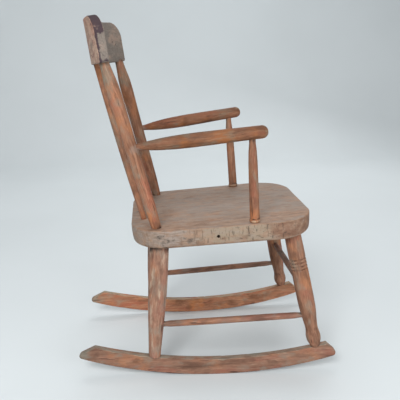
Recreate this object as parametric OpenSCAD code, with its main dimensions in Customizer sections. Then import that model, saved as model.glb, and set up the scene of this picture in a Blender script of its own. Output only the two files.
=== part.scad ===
// Spindle-back rocking chair for a child or a large doll.
// Millimetres. The sitter faces -Y, their right hand is at -X, and the rockers stand on the floor, Z = 0.
// Y = 0 is halfway between the tips of the rockers. The joints are round tenons in drilled sockets.

/* [Seat] */
// Half the width of the plank across its widest part, near the front
seat_front_half = 124; // [116:1:132]
// Half the width of the plank at its back corners
seat_back_half = 118; // [112:1:124]
// Radius of the front corners
seat_front_r = 62; // [40:1:70]
// Radius of the back corners
seat_back_r = 60; // [35:1:60]
// Where the front edge lies, in front of the middle of the chair
seat_front_y = 167; // [165:1:185]
// Where the back edge lies, behind the middle of the chair
seat_back_y = 120; // [117:1:126]
// Thickness of the plank
seat_t = 30.5; // [26:1:32]
// Height of the top of the seat over the middle of the chair
seat_h = 255; // [240:1:270]
// How far the seat slopes down towards the back, in degrees
seat_slope = 3.6; // [0:0.1:5]
// Depth of the worn hollow in the seat
hollow_depth = 1.2; // [0.5:0.1:2]
// Diameter of the flat bottom of the hollow
hollow_d = 130; // [100:5:150]
// Diameter of the old hole in the right edge of the seat
edge_hole_d = 4.5; // [3:0.5:6]

/* [Back] */
// How far the old back has racked round at its top, in degrees: its left side stands forward of its right
back_twist = 3.3; // [0:0.1:4]
// How far the feet of the posts and spindles are out of square in the same way, in degrees
foot_twist = 1; // [0:0.1:4]
// Half the distance between the feet of the back posts
post_foot_half = 97; // [90:1:100]
// Distance of the post feet behind the middle of the chair
post_foot_y = 78.5; // [70:0.5:84]
// Half the distance between the tops of the back posts
post_top_half = 97; // [90:1:98]
// Largest diameter of a back post
post_d = 21.5; // [20:0.5:24]
// Distance between two spindles at the seat
spindle_pitch = 46; // [42:1:48]
// Distance of the middle spindle's foot behind the middle of the chair
spindle_foot_y = 105; // [98:1:106]
// Largest diameter of a spindle
spindle_d = 12.5; // [11:0.5:14]

/* [Crest rail] */
// Half the width of the crest rail, straight across from end to end
crest_half = 111; // [106:1:114]
// Radius of the curve that the rail is bent to
crest_r = 240; // [190:5:300]
// Height of the rail
crest_h = 66; // [55:0.5:75]
// Thickness of the rail
crest_t = 13; // [12.5:0.5:15]
// Radius of its two upper corners
crest_corner_r = 27; // [10:0.5:30]
// How far the rail leans back, in degrees
crest_lean = 8; // [4:0.5:14]
// How far the rail tips sideways, in degrees: its right end stands higher
crest_tip = 1.1; // [0:0.1:2]
// Distance of the rail's lower ends behind the middle of the chair
crest_y = 139; // [130:1:146]
// Height of the rail's lower ends
crest_z = 493.5; // [480:0.5:505]

/* [Arms] */
// Height at which an arm meets its back post
arm_back_z = 374; // [360:1:385]
// Height of the middle of an arm's front end
arm_front_z = 400; // [385:1:410]
// Distance of the arms' front ends in front of the middle of the chair
arm_front_y = 83; // [76:1:92]
// Half the distance between the arms' front ends
arm_front_half = 124; // [115:1:130]
// Largest diameter of an arm
arm_d = 21.5; // [20:0.5:24]
// Half the distance between the feet of the arm supports
support_foot_half = 110; // [104:1:112]
// Distance of the arm supports in front of the middle of the chair, at the seat
support_foot_y = 70; // [60:1:76]
// The same distance at the arm
support_top_y = 60; // [54:1:66]

/* [Legs and stretchers] */
// Half the distance between the tops of the front legs
front_leg_top_half = 92; // [88:1:96]
// Distance of the front legs' tops in front of the middle of the chair
front_leg_top_y = 134; // [128:1:138]
// Distance of the front legs' feet in front of the middle of the chair
front_leg_foot_y = 174.5; // [170:0.5:180]
// Largest diameter of a front leg
front_leg_d = 27.5; // [25:0.5:29]
// Half the distance between the tops of the rear legs
rear_leg_top_half = 87; // [84:1:90]
// Distance of the rear legs' tops behind the middle of the chair
rear_leg_top_y = 76; // [70:1:80]
// Distance of the rear legs' feet behind the middle of the chair
rear_leg_foot_y = 88; // [82:1:94]
// Largest diameter of a rear leg
rear_leg_d = 31; // [28:0.5:32]
// Height of the side stretchers at the rear legs
side_rear_z = 87; // [80:1:95]
// Height of the side stretchers at the front legs
side_front_z = 98; // [92:1:105]
// Height of the front stretcher
front_stretcher_z = 144; // [138:1:152]
// Height of the rear stretcher
rear_stretcher_z = 122; // [118:1:132]
// Largest diameter of a stretcher
stretcher_d = 11; // [10:0.5:12]

/* [Rockers] */
// Length of a rocker from tip to tip
rocker_len = 417; // [410:1:434]
// Radius of the lower edge
rocker_r = 700; // [660:5:760]
// Radius of the upper edge, a little more, so that the rockers are slimmer at their tips
rocker_upper_r = 740; // [700:5:800]
// Depth of a rocker where it touches the floor
rocker_h = 27.5; // [25:0.5:30]
// Thickness of a rocker
rocker_t = 11.5; // [11:0.5:14]
// Half the distance between the rockers, where they touch the floor
rocker_half = 110.5; // [106:0.5:112]
// How far each rocker points outwards at the front, in degrees
rocker_toe = 2.6; // [0:0.1:3]
// Where the rockers touch the floor, in front of the middle of the chair
rocker_rest_y = 10; // [0:1:14]

/* [Joints] */
// Gap round a tenon, across its diameter
fit = 0.1; // [0.1:0.05:0.3]
// Space left under the end of a tenon
end_gap = 1; // [0.5:0.5:1.5]
// Gap at a shoulder
shoulder_gap = 0.05; // [0.05:0.05:0.2]

/* [Hidden] */
$fn = 96;
right = -1;
left = 1;
// Long enough to cut right through any piece from outside it
clear = 60;
big = 500;
// Extra length of a turned body past a surface that trims it, and of a tenon inside its body
spare = 8;
overlap = 1;

// Tenons: diameter and length of each kind
post_tenon = [13, 12];
post_top_tenon = [5.5, 12];
spindle_tenon = [8, 12];
spindle_top_tenon = [6, 10];
leg_tenon = [18, 12];
leg_foot_tenon = [6.5, 12];
support_tenon = [10, 12];
support_top_d = 10;
arm_back_d = 9.5;
stretcher_end_d = 8.5;
// How far the posts and spindles stand forward of the middle of the rail's thickness
post_forward = 3.4;
spindle_forward = 0.5;
// How far a tenon in a turned piece stops short of that piece's axis
axis_short = 1;
// How far an arm support goes up into its arm, past the arm's axis
support_past = 2;
// How far the hole in the seat's edge goes in from the line of the seat's widest part, and where it is
edge_hole_depth = 22;
edge_hole_y = -12;
// Width of the sloping rim round the flat bottom of the hollow
hollow_rim = 20;
// The hollow's middle, in front of the middle of the chair
hollow_y = 40;
// Height of a rocker's blunt tips, and the slopes of the cuts above them in degrees
rear_tip_blunt = 6;
front_tip_blunt = 8;
rear_cut_slope = 26;
front_cut_slope = 41;

wood = "#a5735a";
worn = "#96897f";

// ---- Where things are -------------------------------------------------------------------------------

// Height of the top of the seat at y
function seat_z(y) = seat_h - y * tan(seat_slope);
// Height of the underside of the seat at y
function under_z(y) = seat_z(y) - seat_t / cos(seat_slope);
// A point in the plan turned out of square about the middle of the post feet
function racked(x, y) = [
    x * cos(foot_twist) + (y - post_foot_y) * sin(foot_twist),
    -x * sin(foot_twist) + (y - post_foot_y) * cos(foot_twist) + post_foot_y,
];
// Foot of a post or spindle on top of the seat
function back_foot(x, y) = let (p = racked(x, y)) [p[0], p[1], seat_z(p[1])];
// Distance of the middle of the crest rail's thickness behind its ends, at x across it
function crest_bow(x) = sqrt(crest_r * crest_r - x * x) - sqrt(crest_r * crest_r - crest_half * crest_half);
// A point on the underside of the crest rail, at x across it and forward of the middle of its thickness
function crest_under(x, forward) =
    let (
        d = crest_bow(x) - forward,
        y = d * cos(crest_lean),
        z = -d * sin(crest_lean),
        across = x * cos(crest_tip) + z * sin(crest_tip)
    )
    [
        across * cos(back_twist) + y * sin(back_twist),
        crest_y - across * sin(back_twist) + y * cos(back_twist),
        crest_z - x * sin(crest_tip) + z * cos(crest_tip),
    ];
// The feet of the spindles lie on an arc through the feet of the posts
spindle_sag = spindle_foot_y - post_foot_y;
function spindle_y(x) = spindle_foot_y - spindle_sag * pow(x / post_foot_half, 2);

function post_foot(side) = back_foot(side * post_foot_half, post_foot_y);
function post_top(side) = crest_under(side * post_top_half, post_forward);
function spindle_foot(n) = back_foot(n * spindle_pitch, spindle_y(n * spindle_pitch));
function spindle_top(n) = crest_under(n * spindle_pitch, spindle_forward);

// The point of a straight line from p to q at height z, and at distance y along the chair
function at_z(p, q, z) = p + (q - p) * (z - p[2]) / (q[2] - p[2]);
function at_y(p, q, y) = p + (q - p) * (y - p[1]) / (q[1] - p[1]);

// Rockers: distance of a rocker's middle from the middle of the chair, and height of its upper edge
function rocker_x(y) = rocker_half - (y + rocker_rest_y) * tan(rocker_toe);
function rocker_top(y) =
    rocker_h + rocker_upper_r - sqrt(pow(rocker_upper_r, 2) - pow(y + rocker_rest_y, 2));

function front_leg_top(side) = [side * front_leg_top_half, -front_leg_top_y, under_z(-front_leg_top_y)];
function front_leg_foot(side) =
    [side * rocker_x(-front_leg_foot_y), -front_leg_foot_y, rocker_top(-front_leg_foot_y)];
function rear_leg_top(side) = [side * rear_leg_top_half, rear_leg_top_y, under_z(rear_leg_top_y)];
function rear_leg_foot(side) =
    [side * rocker_x(rear_leg_foot_y), rear_leg_foot_y, rocker_top(rear_leg_foot_y)];

function arm_back(side) = at_z(post_foot(side), post_top(side), arm_back_z);
function arm_front(side) = [side * arm_front_half, -arm_front_y, arm_front_z];
function support_foot(side) =
    [side * support_foot_half, -support_foot_y, seat_z(-support_foot_y)];
function support_top(side) = at_y(arm_back(side), arm_front(side), -support_top_y);

function on_front_leg(side, z) = at_z(front_leg_foot(side), front_leg_top(side), z);
function on_rear_leg(side, z) = at_z(rear_leg_foot(side), rear_leg_top(side), z);

// ---- Building blocks --------------------------------------------------------------------------------

// Stands its children, made along +Z from the origin, on p and turns them towards q
module along(p, q) {
    d = q - p;
    translate(p)
        rotate([0, acos(d[2] / norm(d)), atan2(d[1], d[0])])
            children();
}

// A turned shape: stations are [height, diameter] pairs from the lower end up
module turned(stations) {
    top = stations[len(stations) - 1][0];
    rotate_extrude()
        polygon(concat(
            [[0, stations[0][0]]],
            [for (s = stations) [s[1] / 2, s[0]]],
            [[0, top]]
        ));
}

// Stations for a piece of length l and diameter d from shares of them
function scaled(l, d, shares) = [for (s = shares) [s[0] * l, s[1] * d]];

// A tenon that goes down from the origin, and the socket for it
module tenon(size) {
    translate([0, 0, -size[1]])
        cylinder(d = size[0], h = size[1] + shoulder_gap + overlap);
}

module socket(size) {
    translate([0, 0, -size[1] - end_gap])
        cylinder(d = size[0] + fit, h = size[1] + end_gap + clear / 2);
}

// Everything below the top of the seat, and everything above its underside
module below_seat_top() {
    translate([0, 0, seat_h + shoulder_gap])
        rotate([-seat_slope, 0, 0])
            translate([-big / 2, -big / 2, -clear])
                cube([big, big, clear]);
}

module above_seat_bottom() {
    translate([0, 0, seat_h])
        rotate([-seat_slope, 0, 0])
            translate([-big / 2, -big / 2, -seat_t - shoulder_gap])
                cube([big, big, clear]);
}

// Places its children in the crest rail's own frame: X across, Y back, Z up along its lean
module at_crest() {
    translate([0, crest_y, crest_z])
        rotate([-crest_lean, crest_tip, -back_twist])
            children();
}

module above_crest_bottom() {
    at_crest()
        translate([-big / 2, -clear, -shoulder_gap])
            cube([big, 2 * clear, clear]);
}

// Places its children in a rocker's own frame: X across it, Y along it, Z up, origin where it touches
module at_rocker(side) {
    translate([side * rocker_half, -rocker_rest_y, 0])
        rotate([0, 0, side * rocker_toe])
            children();
}

// The space above both rockers' upper edges, which trims the feet of the legs to them
module above_rockers() {
    translate([-big / 2, -rocker_rest_y, rocker_h + rocker_upper_r])
        rotate([0, 90, 0])
            cylinder(r = rocker_upper_r - shoulder_gap, h = big, $fn = 360);
}

// ---- Seat -------------------------------------------------------------------------------------------

module seat_outline() {
    front_x = seat_front_half - seat_front_r;
    front_y = -seat_front_y + seat_front_r;
    back_x = seat_back_half - seat_back_r;
    back_y = seat_back_y - seat_back_r;
    polygon([
        [-seat_front_half, front_y], [-front_x, -seat_front_y],
        [front_x, -seat_front_y], [seat_front_half, front_y],
        [seat_back_half, back_y], [back_x, seat_back_y],
        [-back_x, seat_back_y], [-seat_back_half, back_y],
    ]);
    for (side = [right, left]) {
        translate([side * front_x, front_y])
            circle(seat_front_r);
        translate([side * back_x, back_y])
            circle(seat_back_r);
    }
}

module seat_sockets() {
    for (side = [right, left]) {
        along(post_foot(side), post_top(side))
            socket(post_tenon);
        along(support_foot(side), support_top(side))
            socket(support_tenon);
        along(front_leg_top(side), front_leg_foot(side))
            socket(leg_tenon);
        along(rear_leg_top(side), rear_leg_foot(side))
            socket(leg_tenon);
    }
    for (n = [-1, 0, 1])
        along(spindle_foot(n), spindle_top(n))
            socket(spindle_tenon);
}

module seat() {
    color(worn)
        difference() {
            translate([0, 0, seat_h])
                rotate([-seat_slope, 0, 0])
                    difference() {
                        translate([0, 0, -seat_t])
                            linear_extrude(seat_t)
                                seat_outline();
                        translate([0, -hollow_y, -hollow_depth])
                            cylinder(
                                h = 2 * hollow_depth,
                                d1 = hollow_d,
                                d2 = hollow_d + 4 * hollow_rim
                            );
                        translate([-seat_front_half, edge_hole_y, -seat_t / 2])
                            rotate([0, 90, 0])
                                cylinder(d = edge_hole_d, h = edge_hole_depth);
                    }
            seat_sockets();
        }
}

// ---- Back -------------------------------------------------------------------------------------------

module crest_rail() {
    centre_y = -sqrt(crest_r * crest_r - crest_half * crest_half);
    corner_x = crest_half - crest_corner_r;
    color(worn)
        difference() {
            at_crest()
                intersection() {
                    translate([0, centre_y, 0])
                        linear_extrude(crest_h)
                            difference() {
                                circle(crest_r + crest_t / 2, $fn = 360);
                                circle(crest_r - crest_t / 2, $fn = 360);
                            }
                    translate([0, clear, 0])
                        rotate([90, 0, 0])
                            linear_extrude(clear + crest_t) {
                                translate([-crest_half, 0])
                                    square([2 * crest_half, crest_h - crest_corner_r]);
                                translate([-corner_x, 0])
                                    square([2 * corner_x, crest_h]);
                                for (side = [right, left])
                                    translate([side * corner_x, crest_h - crest_corner_r])
                                        circle(crest_corner_r);
                            }
                }
            for (side = [right, left])
                along(post_top(side), post_foot(side))
                    socket(post_top_tenon);
            for (n = [-1, 0, 1])
                along(spindle_top(n), spindle_foot(n))
                    socket(spindle_top_tenon);
        }
}

// Back post: slim below, fullest at three quarters of its height, drawn in to a neck under the rail
post_shares = [
    [-0.03, 0.71], [0, 0.71], [0.04, 0.75], [0.12, 0.84], [0.25, 0.87], [0.5, 0.9], [0.6, 0.92],
    [0.7, 0.96], [0.78, 1], [0.84, 0.98], [0.88, 0.94], [0.92, 0.83], [0.97, 0.7], [1, 0.65], [1.03, 0.64],
];
// Spindle: a slim cigar
spindle_shares = [
    [-0.02, 0.73], [0, 0.74], [0.1, 0.83], [0.2, 0.9], [0.3, 0.96], [0.42, 1], [0.54, 0.99],
    [0.66, 0.94], [0.78, 0.86], [0.9, 0.75], [1, 0.65], [1.02, 0.64],
];

module back_post(side) {
    foot = post_foot(side);
    top = post_top(side);
    color(wood)
        difference() {
            union() {
                difference() {
                    along(foot, top)
                        turned(scaled(norm(top - foot), post_d, post_shares));
                    below_seat_top();
                    above_crest_bottom();
                }
                along(foot, top)
                    tenon(post_tenon);
                along(top, foot)
                    tenon(post_top_tenon);
            }
            along(arm_back(side), arm_front(side))
                cylinder(d = arm_back_d + fit, h = clear);
        }
}

module back_post_right() {
    back_post(right);
}

module back_post_left() {
    back_post(left);
}

module back_spindle(n) {
    foot = spindle_foot(n);
    top = spindle_top(n);
    color(wood) {
        difference() {
            along(foot, top)
                turned(scaled(norm(top - foot), spindle_d, spindle_shares));
            below_seat_top();
            above_crest_bottom();
        }
        along(foot, top)
            tenon(spindle_tenon);
        along(top, foot)
            tenon(spindle_top_tenon);
    }
}

module back_spindle_right() {
    back_spindle(-1);
}

module back_spindle_middle() {
    back_spindle(0);
}

module back_spindle_left() {
    back_spindle(1);
}

// ---- Arms -------------------------------------------------------------------------------------------

// Arm: a slim end in the post that swells quickly, then tapers a little to a rounded front end
front_share = 0.91;
round_share = 0.45;
function arm_shape(l) = concat(
    [
        [axis_short, arm_back_d], [post_d * 0.6, arm_back_d], [l * 0.13, arm_d * 0.66],
        [l * 0.22, arm_d * 0.84], [l * 0.32, arm_d * 0.95], [l * 0.45, arm_d],
        [l * 0.62, arm_d * 0.98], [l * 0.8, arm_d * 0.93],
    ],
    [for (a = [0:15:75]) [l - arm_d * round_share * (1 - sin(a)), arm_d * front_share * cos(a)]],
    [[l, arm_d * 0.1]]
);

module arm(side) {
    back = arm_back(side);
    front = arm_front(side);
    top = support_top(side);
    reach = norm(top - support_foot(side));
    color(wood)
        difference() {
            along(back, front)
                turned(arm_shape(norm(front - back)));
            along(support_foot(side), top)
                cylinder(d = support_top_d + fit, h = reach + support_past + end_gap);
        }
}

module arm_right() {
    arm(right);
}

module arm_left() {
    arm(left);
}

// Arm support: a ring at the foot, then a slow taper up to the end that goes into the arm
function support_shape(l) = [
    [-spare, 14.5], [0, 14.5], [0.8, 17], [2.6, 17.6], [4.2, 16.4], [5.4, 14.8], [9, 15.4],
    [l * 0.25, 15], [l * 0.5, 14.6], [l * 0.68, 14], [l * 0.8, 12.6], [l * 0.89, support_top_d],
    [l + support_past, support_top_d],
];

module arm_support(side) {
    foot = support_foot(side);
    top = support_top(side);
    l = norm(top - foot);
    color(wood) {
        difference() {
            along(foot, top)
                turned(support_shape(l));
            below_seat_top();
        }
        along(foot, top)
            tenon(support_tenon);
    }
}

module arm_support_right() {
    arm_support(right);
}

module arm_support_left() {
    arm_support(left);
}

// ---- Legs -------------------------------------------------------------------------------------------

// Front leg from the foot up: foot, ball, neck, long swell with a band of fine grooves, plain top
groove_pitch = 5.6;
groove_half = 1.4;
groove_depth = 0.8;
function front_leg_grooves(start) = [
    for (n = [0:3], k = [-1:1])
        [start + n * groove_pitch + k * groove_half, front_leg_d - (k == 0 ? 2 * groove_depth : 0)]
];
function front_leg_shape(l) = concat(
    [
        [-spare, 15], [0, 15], [3, 17], [7, 20.5], [11, 23], [15, 24], [19, 23.6], [23, 22.2],
        [27, 20.8], [31, 20.3], [38, 21], [46, 22.8], [56, 25.2], [68, 26.8], [82, front_leg_d],
    ],
    front_leg_grooves(l * 0.69),
    [[l * 0.86, front_leg_d * 0.985], [l, front_leg_d * 0.95], [l + spare, front_leg_d * 0.95]]
);

// Rear leg: a plain taper, fullest in its upper half
rear_leg_shares = [
    [-0.05, 0.59], [0, 0.62], [0.18, 0.74], [0.34, 0.86], [0.5, 0.94], [0.64, 0.99], [0.8, 1],
    [1, 0.97], [1.05, 0.965],
];

// A leg between the seat and a rocker: its body is trimmed to both, and it has a tenon at each end
module leg_blank(foot, top, shape) {
    difference() {
        intersection() {
            along(foot, top)
                turned(shape);
            above_rockers();
        }
        above_seat_bottom();
    }
    along(foot, top)
        tenon(leg_foot_tenon);
    along(top, foot)
        tenon(leg_tenon);
}

// The drilled socket for the end of a stretcher that runs from p to q
module stretcher_socket(p, q) {
    along(p, q)
        cylinder(d = stretcher_end_d + fit, h = clear);
}

module front_leg(side) {
    foot = front_leg_foot(side);
    top = front_leg_top(side);
    color(wood)
        difference() {
            leg_blank(foot, top, front_leg_shape(norm(top - foot)));
            stretcher_socket(on_front_leg(side, side_front_z), on_rear_leg(side, side_rear_z));
            stretcher_socket(
                on_front_leg(side, front_stretcher_z), on_front_leg(-side, front_stretcher_z)
            );
        }
}

module front_leg_right() {
    front_leg(right);
}

module front_leg_left() {
    front_leg(left);
}

module rear_leg(side) {
    foot = rear_leg_foot(side);
    top = rear_leg_top(side);
    color(wood)
        difference() {
            leg_blank(foot, top, scaled(norm(top - foot), rear_leg_d, rear_leg_shares));
            stretcher_socket(on_rear_leg(side, side_rear_z), on_front_leg(side, side_front_z));
            stretcher_socket(
                on_rear_leg(side, rear_stretcher_z), on_rear_leg(-side, rear_stretcher_z)
            );
        }
}

module rear_leg_right() {
    rear_leg(right);
}

module rear_leg_left() {
    rear_leg(left);
}

// ---- Stretchers -------------------------------------------------------------------------------------

// Stretcher from axis to axis of two legs: parallel ends in the sockets and a slight swell between them
function stretcher_shape(l) = [
    [axis_short, stretcher_end_d], [17, stretcher_end_d], [22, stretcher_d * 0.93],
    [l * 0.3, stretcher_d], [l * 0.7, stretcher_d],
    [l - 22, stretcher_d * 0.93], [l - 17, stretcher_end_d], [l - axis_short, stretcher_end_d],
];

module stretcher(p, q) {
    color(wood)
        along(p, q)
            turned(stretcher_shape(norm(q - p)));
}

module side_stretcher_right() {
    stretcher(on_rear_leg(right, side_rear_z), on_front_leg(right, side_front_z));
}

module side_stretcher_left() {
    stretcher(on_rear_leg(left, side_rear_z), on_front_leg(left, side_front_z));
}

module front_stretcher() {
    stretcher(on_front_leg(right, front_stretcher_z), on_front_leg(left, front_stretcher_z));
}

module rear_stretcher() {
    stretcher(on_rear_leg(right, rear_stretcher_z), on_rear_leg(left, rear_stretcher_z));
}

// ---- Rockers ----------------------------------------------------------------------------------------

// Side view of a rocker: a bow with a long slanting cut behind and a shorter one in front
module rocker_side() {
    rear = rocker_len / 2 + rocker_rest_y;
    front = rocker_len / 2 - rocker_rest_y;
    rear_tip = rocker_r - sqrt(rocker_r * rocker_r - rear * rear) + rear_tip_blunt;
    front_tip = rocker_r - sqrt(rocker_r * rocker_r - front * front) + front_tip_blunt;
    run = rocker_len / 4;
    intersection() {
        difference() {
            translate([0, rocker_r])
                circle(rocker_r, $fn = 360);
            translate([0, rocker_h + rocker_upper_r])
                circle(rocker_upper_r, $fn = 360);
        }
        polygon([
            [-front, -overlap], [rear, -overlap], [rear, rear_tip],
            [rear - run, rear_tip + run * tan(rear_cut_slope)],
            [-front + run, front_tip + run * tan(front_cut_slope)],
            [-front, front_tip],
        ]);
    }
}

module rocker(side) {
    color(wood)
        difference() {
            at_rocker(side)
                translate([-rocker_t / 2, 0, 0])
                    rotate([90, 0, 90])
                        linear_extrude(rocker_t)
                            rocker_side();
            along(front_leg_foot(side), front_leg_top(side))
                socket(leg_foot_tenon);
            along(rear_leg_foot(side), rear_leg_top(side))
                socket(leg_foot_tenon);
        }
}

module rocker_right() {
    rocker(right);
}

module rocker_left() {
    rocker(left);
}

seat();
crest_rail();
back_post_right();
back_post_left();
back_spindle_right();
back_spindle_middle();
back_spindle_left();
arm_right();
arm_left();
arm_support_right();
arm_support_left();
front_leg_right();
front_leg_left();
rear_leg_right();
rear_leg_left();
side_stretcher_right();
side_stretcher_left();
front_stretcher();
rear_stretcher();
rocker_right();
rocker_left();
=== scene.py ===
"""Spindle-back rocking chair: the visual model, built on the CAD frame.

Sizes are in millimetres until a mesh is made. Every piece is a stack of closed rings: a turned
piece from its lower end up, a rocker from its front tip back, and a board from the middle of one
face out over its edge to the middle of the other.
"""
import math

import bpy
import numpy as np
from mathutils import Matrix, Vector


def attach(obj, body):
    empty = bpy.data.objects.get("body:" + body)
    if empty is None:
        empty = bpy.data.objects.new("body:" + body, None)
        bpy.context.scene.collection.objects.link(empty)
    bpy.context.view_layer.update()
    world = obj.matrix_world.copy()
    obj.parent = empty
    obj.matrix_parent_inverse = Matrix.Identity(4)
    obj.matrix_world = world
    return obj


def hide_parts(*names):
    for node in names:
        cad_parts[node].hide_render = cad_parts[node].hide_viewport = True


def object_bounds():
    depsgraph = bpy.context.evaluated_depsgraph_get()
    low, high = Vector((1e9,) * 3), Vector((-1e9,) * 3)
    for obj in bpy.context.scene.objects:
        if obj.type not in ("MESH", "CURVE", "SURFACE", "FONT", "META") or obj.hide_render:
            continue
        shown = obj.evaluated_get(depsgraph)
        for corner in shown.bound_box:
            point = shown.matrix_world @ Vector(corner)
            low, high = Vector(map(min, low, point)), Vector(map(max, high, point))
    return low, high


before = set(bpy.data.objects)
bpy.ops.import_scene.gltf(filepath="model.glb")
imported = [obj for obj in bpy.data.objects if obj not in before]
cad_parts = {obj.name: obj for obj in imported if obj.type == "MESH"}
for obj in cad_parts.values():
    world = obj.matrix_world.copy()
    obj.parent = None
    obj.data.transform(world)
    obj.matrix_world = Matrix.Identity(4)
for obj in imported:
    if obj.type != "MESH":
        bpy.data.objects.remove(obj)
cad_box = [list(corner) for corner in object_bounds()]

MM = 0.001
RIGHT, LEFT = -1, 1
SIDES = ((RIGHT, "right"), (LEFT, "left"))


def rad(degrees):
    return math.radians(degrees)


def vec(*values):
    return np.array(values, dtype=float)


# ---- The chair's own dimensions, as in the CAD model ---------------------------------------------

SEAT_H, SEAT_T, SEAT_SLOPE = 255.0, 30.5, 3.6
SEAT_FRONT_HALF, SEAT_BACK_HALF, SEAT_FRONT_R, SEAT_BACK_R = 124.0, 118.0, 62.0, 60.0
SEAT_FRONT_Y, SEAT_BACK_Y = 167.0, 120.0
HOLLOW_Y, HOLLOW_D, HOLLOW_RIM, HOLLOW_DEPTH = 40.0, 130.0, 20.0, 1.2
EDGE_HOLE_Y, EDGE_HOLE_D, EDGE_HOLE_DEPTH = -12.0, 4.5, 22.0
TWIST, FOOT_TWIST, CREST_LEAN, CREST_TIP = 3.3, 1.0, 8.0, 1.1
POST_FOOT_HALF, POST_FOOT_Y, POST_TOP_HALF, POST_D = 97.0, 78.5, 97.0, 21.5
SPINDLE_PITCH, SPINDLE_FOOT_Y, SPINDLE_D = 46.0, 105.0, 12.5
CREST_HALF, CREST_R, CREST_H, CREST_T, CREST_CORNER_R = 111.0, 240.0, 66.0, 13.0, 27.0
CREST_LOW_CORNER_R = 3
CREST_Y, CREST_Z = 139.0, 493.5
POST_FORWARD, SPINDLE_FORWARD = 3.4, 0.5
ARM_BACK_Z, ARM_D, ARM_BACK_D = 374.0, 21.5, 9.5
ARM_FRONT = (124.0, 83.0, 400.0)
SUPPORT_FOOT, SUPPORT_FOOT_D = (110.0, 70.0), 14.5
SUPPORT_TOP_Y, SUPPORT_TOP_D = 60.0, 10.0
FRONT_LEG_TOP, FRONT_LEG_FOOT_Y, FRONT_LEG_D = (92.0, 134.0), 174.5, 27.5
REAR_LEG_TOP, REAR_LEG_FOOT_Y, REAR_LEG_D = (87.0, 76.0), 88.0, 31.0
SIDE_REAR_Z, SIDE_FRONT_Z, FRONT_STRETCHER_Z, REAR_STRETCHER_Z = 87.0, 98.0, 144.0, 122.0
STRETCHER_D, STRETCHER_END_D = 11.0, 8.5
ROCKER_LEN, ROCKER_R, ROCKER_UPPER_R, ROCKER_H, ROCKER_T = 417.0, 700.0, 740.0, 27.5, 11.5
ROCKER_HALF, ROCKER_TOE, ROCKER_REST_Y = 110.5, 2.6, 10.0
REAR_TIP, FRONT_TIP, REAR_CUT, FRONT_CUT = 6.0, 8.0, 26.0, 41.0

# How far the drawn part of a piece runs on into the piece that its tenon enters
LET_IN = 3.0

# Each piece's figure and dents come from its seed, plus its side where there is one on each
SEED = dict(
    post=11, spindle=21, arm=31, support=41, front_leg=51, rear_leg=61, side_stretcher=71,
    front_stretcher=75, rear_stretcher=78, rocker=81, seat=91, crest=95,
)

# Outlines of the turned pieces, as shares of the length and of the widest diameter
POST_SHARES = [
    (0, 0.71), (0.04, 0.75), (0.12, 0.84), (0.25, 0.87), (0.5, 0.9), (0.6, 0.92), (0.7, 0.96),
    (0.78, 1), (0.84, 0.98), (0.88, 0.94), (0.92, 0.83), (0.97, 0.7), (1, 0.65),
]
SPINDLE_SHARES = [
    (0, 0.74), (0.1, 0.83), (0.2, 0.9), (0.3, 0.96), (0.42, 1), (0.54, 0.99), (0.66, 0.94),
    (0.78, 0.86), (0.9, 0.75), (1, 0.65),
]
REAR_LEG_SHARES = [
    (0, 0.62), (0.18, 0.74), (0.34, 0.86), (0.5, 0.94), (0.64, 0.99), (0.8, 1), (1, 0.97),
]
ARM_SHARES = [(0.13, 0.66), (0.22, 0.84), (0.32, 0.95), (0.45, 1), (0.62, 0.98), (0.8, 0.93)]

# The front leg from its ball foot up to its widest, and the ring at the foot of an arm support, as
# heights and diameters
BALL_FOOT = [
    (0, 15), (3, 17), (7, 20.5), (11, 23), (15, 24), (19, 23.6), (23, 22.2), (27, 20.8),
    (31, 20.3), (38, 21), (46, 22.8), (56, 25.2), (68, 26.8), (82, FRONT_LEG_D),
]
SUPPORT_RING = [(0.8, 17), (2.6, 17.6), (4.2, 16.4), (5.4, 14.8), (9, 15.4)]

GROOVES, GROOVE_PITCH, GROOVE_DEPTH, GROOVE_HALF = 4, 5.6, 0.8, 1.4
GROOVE_START_SHARE = 0.69


def seat_z(y):
    """Height of the seat's top."""
    return SEAT_H - y * math.tan(rad(SEAT_SLOPE))


def under_z(y):
    """Height of the seat's underside."""
    return seat_z(y) - SEAT_T / math.cos(rad(SEAT_SLOPE))


def back_foot(x, y):
    """Foot of a post or spindle, out of square about the middle of the post feet."""
    c, s = math.cos(rad(FOOT_TWIST)), math.sin(rad(FOOT_TWIST))
    dy = y - POST_FOOT_Y
    foot_y = -x * s + dy * c + POST_FOOT_Y
    return vec(x * c + dy * s, foot_y, seat_z(foot_y))


CREST_CENTRE_Y = -math.sqrt(CREST_R**2 - CREST_HALF**2)
CREST_M = (
    Matrix.Translation(Vector((0, CREST_Y, CREST_Z)))
    @ Matrix.Rotation(rad(-TWIST), 4, "Z")
    @ Matrix.Rotation(rad(CREST_TIP), 4, "Y")
    @ Matrix.Rotation(rad(-CREST_LEAN), 4, "X")
)


def crest_under(x, forward):
    """A point on the crest rail's lower edge, forward mm in front of its middle line."""
    bow = math.sqrt(CREST_R**2 - x * x) + CREST_CENTRE_Y
    return np.array(CREST_M @ Vector((x, bow - forward, 0)))


def post_foot(side):
    return back_foot(side * POST_FOOT_HALF, POST_FOOT_Y)


def post_top(side):
    return crest_under(side * POST_TOP_HALF, POST_FORWARD)


def spindle_ends(n):
    """Foot and top of a back spindle; the spindles' feet stand on a curve between the posts'."""
    x = n * SPINDLE_PITCH
    y = SPINDLE_FOOT_Y - (SPINDLE_FOOT_Y - POST_FOOT_Y) * (x / POST_FOOT_HALF) ** 2
    return back_foot(x, y), crest_under(x, SPINDLE_FORWARD)


def at(p, q, axis, value):
    """The point of the line from p to q where its coordinate along axis has that value."""
    return p + (q - p) * (value - p[axis]) / (q[axis] - p[axis])


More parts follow.
